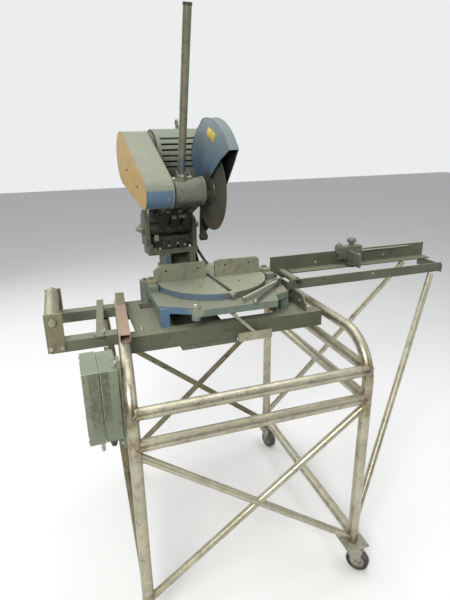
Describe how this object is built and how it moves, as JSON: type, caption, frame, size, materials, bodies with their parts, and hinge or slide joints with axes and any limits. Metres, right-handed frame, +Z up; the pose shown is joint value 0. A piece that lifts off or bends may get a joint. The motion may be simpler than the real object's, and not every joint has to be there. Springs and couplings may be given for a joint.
{
  "type": "mitre saw on stand",
  "caption": "Abrasive mitre saw with a belt-driven chop head and pull handle, on a bent tube stand with roller infeed and braced outfeed fence.",
  "frame": {"origin": "the floor under the axis of the front left leg", "axes": "+X along the feed from infeed to outfeed, +Y from the operator to the back, +Z up"},
  "size_m": [1.639, 0.9931, 1.9563],
  "materials": {
    "frame_steel": "dull stainless tube with weld tint",
    "beam_paint": "dusty olive grey paint",
    "dusty_steel": "dusty worn paint",
    "bare_steel": "worn bare steel",
    "primer_paint": "faded primer",
    "blue_paint": "worn blue paint",
    "table_iron": "ground and dusty",
    "green_paint": "grey green paint",
    "dark_iron": "dark oily casting",
    "guard_face": "rust tinted dusty cover",
    "motor_alu": "dusty casting",
    "disc_grit": "dark worn disc",
    "black_rubber": "black",
    "black_plastic": "black",
    "caster_steel": "zinc plated",
    "tread": "solid tread"
  },
  "bodies": {
    "stand": {"side_frame_left": "frame_steel", "side_frame_right": "frame_steel", "front_rail_upper": "frame_steel", "front_rail_lower": "frame_steel", "side_rails": "frame_steel", "infeed_braces": "frame_steel", "bottom_rail_right": "frame_steel", "front_brace_a": "frame_steel", "front_brace_b": "frame_steel", "rear_brace_a": "frame_steel", "rear_brace_b": "frame_steel", "leg_feet": "black_rubber", "caster_plates": "caster_steel", "front_beam": "beam_paint", "rear_beam": "beam_paint", "saddle_plates": "dusty_steel", "infeed_rails": "dusty_steel", "infeed_brackets": "dusty_steel", "roller_axles": "bare_steel", "cross_bar_flat": "dusty_steel", "cross_bar_box": "primer_paint", "coolant_tray": "dusty_steel", "outfeed_front_rail": "beam_paint", "outfeed_fence": "beam_paint", "outfeed_cross_bars": "beam_paint", "outfeed_brackets": "beam_paint", "outfeed_brace_front": "frame_steel", "outfeed_brace_rear": "frame_steel", "saw_base": "blue_paint", "fence_left": "blue_paint", "fence_right": "blue_paint", "box_body": "green_paint", "bolts": "bare_steel"},
    "caster_front": {"caster_fork_front": "caster_steel"},
    "wheel_front": {"caster_wheel_front": "tread"},
    "caster_rear": {"caster_fork_rear": "caster_steel"},
    "wheel_rear": {"caster_wheel_rear": "tread"},
    "infeed_roller": {"infeed_roller": "bare_steel"},
    "outfeed_roller": {"outfeed_roller": "bare_steel"},
    "stop": {"stop_block": "dark_iron"},
    "stop_clamp_knob": {"stop_knob": "black_plastic"},
    "stop_rod": {"stop_rod": "bare_steel"},
    "table": {"turntable": "table_iron", "yoke": "blue_paint", "pivot_pin": "bare_steel"},
    "plunger": {"mitre_plunger": "bare_steel"},
    "clamp_lever": {"clamp_lever": "bare_steel"},
    "release_handle": {"release_handle": "bare_steel"},
    "head": {"head_arm": "dark_iron", "spindle_housing": "green_paint", "blade_guard": "blue_paint", "motor_body": "motor_alu", "v_belt": "black_rubber", "belt_guard": "guard_face", "handle_tube": "bare_steel", "handle_cap": "black_plastic"},
    "spindle": {"spindle": "bare_steel", "blade": "disc_grit"},
    "rotor": {"motor_shaft": "bare_steel"},
    "box_lid": {"box_lid": "green_paint"}
  },
  "joints": [
    {"name": "caster_front_swivel", "type": "hinge", "parent": "stand", "child": "caster_front", "pos_m": [0.78, 0, 0.11], "axis": [0, 0, 1], "continuous": true},
    {"name": "wheel_front_roll", "type": "hinge", "parent": "caster_front", "child": "wheel_front", "pos_m": [0.79671, -0.01992, 0.042], "axis": [0.766, 0.6428, 0], "continuous": true},
    {"name": "caster_rear_swivel", "type": "hinge", "parent": "stand", "child": "caster_rear", "pos_m": [0.78, 0.82, 0.11], "axis": [0, 0, 1], "continuous": true},
    {"name": "wheel_rear_roll", "type": "hinge", "parent": "caster_rear", "child": "wheel_rear", "pos_m": [0.78585, 0.79467, 0.042], "axis": [0.9744, 0.225, 0], "continuous": true},
    {"name": "infeed_roller_spin", "type": "hinge", "parent": "stand", "child": "infeed_roller", "pos_m": [-0.19, 0.488, 1.031], "axis": [0, 1, 0], "continuous": true},
    {"name": "outfeed_roller_spin", "type": "hinge", "parent": "stand", "child": "outfeed_roller", "pos_m": [0.716, 0.477, 1.044], "axis": [0, 1, 0], "continuous": true},
    {"name": "stop_slide", "type": "slide", "parent": "stand", "child": "stop", "axis": [1, 0, 0], "range_m": [-0.09, 0.1]},
    {"name": "stop_knob_turn", "type": "hinge", "parent": "stop", "child": "stop_clamp_knob", "pos_m": [1.052, 0.561, 1.14], "axis": [0, 0, 1], "range_deg": [-180, 180]},
    {"name": "stop_rod_slide", "type": "slide", "parent": "stop", "child": "stop_rod", "axis": [1, 0, 0], "range_m": [0, 0.09]},
    {"name": "mitre_swivel", "type": "hinge", "parent": "stand", "child": "table", "pos_m": [0.408, 0.545, 1.045], "axis": [0, 0, 1], "range_deg": [-49, 24]},
    {"name": "plunger_pull", "type": "slide", "parent": "table", "child": "plunger", "axis": [0.0698, -0.9976, 0], "range_m": [0, 0.012], "stiffness_N_per_m": 300, "springref_m": -0.01},
    {"name": "clamp_lever_turn", "type": "hinge", "parent": "stand", "child": "clamp_lever", "pos_m": [0.64, 0.417, 1.05], "axis": [0, 0, 1], "range_deg": [-6, 40]},
    {"name": "release_pull", "type": "slide", "parent": "stand", "child": "release_handle", "axis": [0, -1, 0], "range_m": [0, 0.03], "stiffness_N_per_m": 400, "springref_m": -0.02},
    {"name": "head_chop", "type": "hinge", "parent": "table", "child": "head", "pos_m": [0.393, 0.75948, 1.227], "axis": [0.9976, 0.0698, 0], "range_deg": [0, 43], "stiffness_Nm_per_rad": 90, "springref_deg": -28.65},
    {"name": "spindle_spin", "type": "hinge", "parent": "head", "child": "spindle", "pos_m": [0.41009, 0.51507, 1.395], "axis": [0.9976, 0.0698, 0], "continuous": true},
    {"name": "motor_spin", "type": "hinge", "parent": "head", "child": "rotor", "pos_m": [0.38882, 0.81933, 1.5], "axis": [0.9976, 0.0698, 0], "continuous": true},
    {"name": "box_lid_open", "type": "hinge", "parent": "stand", "child": "box_lid", "pos_m": [-0.0745, 0.2045, 0.85], "axis": [0, 0, -1], "range_deg": [0, 110]}
  ],
  "couplings": [
    {"joint": "motor_spin", "follows": "spindle_spin", "ratio": 0.4878}
  ]
}
